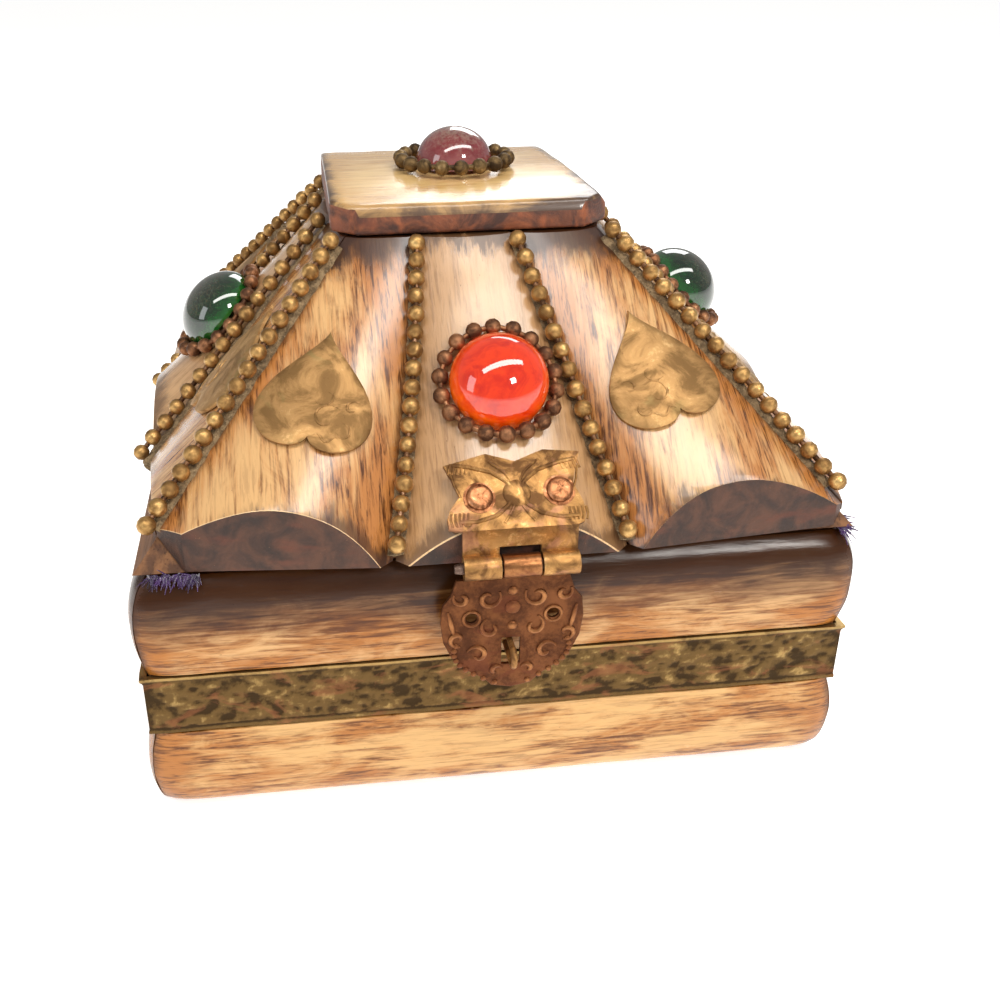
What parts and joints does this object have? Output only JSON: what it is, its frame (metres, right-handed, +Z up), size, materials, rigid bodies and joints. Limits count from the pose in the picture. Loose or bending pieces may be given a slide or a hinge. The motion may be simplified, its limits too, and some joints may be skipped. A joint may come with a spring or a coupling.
{
  "type": "jewelry box",
  "caption": "Square wooden jewelry box veneered in bone, with a hinged pyramid lid trimmed in bead chain, brass hearts and glass cabochons, and a swinging front hasp.",
  "frame": {"origin": "centre of the flat underside", "axes": "+Z up, the front with the hasp faces -Y, +X to the right seen from the front"},
  "size_m": [0.1146, 0.1239, 0.095],
  "materials": {
    "wood": "bare dark wood",
    "velvet": "purple velvet",
    "bone": "polished bone, burnt brown at the edges",
    "aged_brass": "dull aged brass",
    "patinated_brass": "embossed, dark olive patina",
    "copper_brass": "coppery, reddish-brown patina",
    "rusty_steel": "corroded steel wire",
    "orange_glass": "polished orange glass with bubbles",
    "green_glass": "polished dark green glass, dusty",
    "red_glass": "polished dark red glass, dusty"
  },
  "bodies": {
    "base": {"base_box": "wood", "base_lining": "velvet", "brass_band": "patinated_brass", "front_upper_moulding": "bone", "front_lower_moulding": "bone", "right_upper_moulding": "bone", "right_lower_moulding": "bone", "back_upper_moulding": "bone", "back_lower_moulding": "bone", "left_upper_moulding": "bone", "left_lower_moulding": "bone", "hasp_staple": "aged_brass", "rear_left_hinge_base_leaf": "aged_brass", "rear_right_hinge_base_leaf": "aged_brass"},
    "lid": {"lid_box": "wood", "lid_lining": "velvet", "top_plate": "bone", "front_left_strip": "bone", "front_centre_strip": "bone", "front_right_strip": "bone", "front_left_heart": "aged_brass", "front_right_heart": "aged_brass", "front_joint_chain": "aged_brass", "front_left_hip_chain": "aged_brass", "front_gem": "orange_glass", "front_gem_ring": "copper_brass", "right_left_strip": "bone", "right_centre_strip": "bone", "right_right_strip": "bone", "right_left_heart": "aged_brass", "right_right_heart": "aged_brass", "right_joint_chain": "aged_brass", "right_left_hip_chain": "aged_brass", "right_gem": "green_glass", "right_gem_ring": "copper_brass", "back_left_strip": "bone", "back_centre_strip": "bone", "back_right_strip": "bone", "back_left_heart": "aged_brass", "back_right_heart": "aged_brass", "back_joint_chain": "aged_brass", "back_left_hip_chain": "aged_brass", "back_gem": "green_glass", "back_gem_ring": "copper_brass", "left_left_strip": "bone", "left_centre_strip": "bone", "left_right_strip": "bone", "left_left_heart": "aged_brass", "left_right_heart": "aged_brass", "left_joint_chain": "aged_brass", "left_left_hip_chain": "aged_brass", "left_gem": "green_glass", "left_gem_ring": "copper_brass", "top_gem": "red_glass", "top_gem_ring": "copper_brass", "hasp_plate": "aged_brass", "hasp_pin": "rusty_steel", "rear_left_hinge_lid_leaf": "aged_brass", "rear_right_hinge_lid_leaf": "aged_brass"},
    "hasp": {"hasp_leaf": "copper_brass"}
  },
  "joints": [
    {"name": "lid_hinge", "type": "hinge", "parent": "base", "child": "lid", "pos_m": [0, 0.0592, 0.0427], "axis": [-1, 0, 0], "range_deg": [0, 105]},
    {"name": "hasp_hinge", "type": "hinge", "parent": "lid", "child": "hasp", "pos_m": [0.0014, -0.0599, 0.0437], "axis": [-1, 0, 0], "range_deg": [0, 170]}
  ]
}
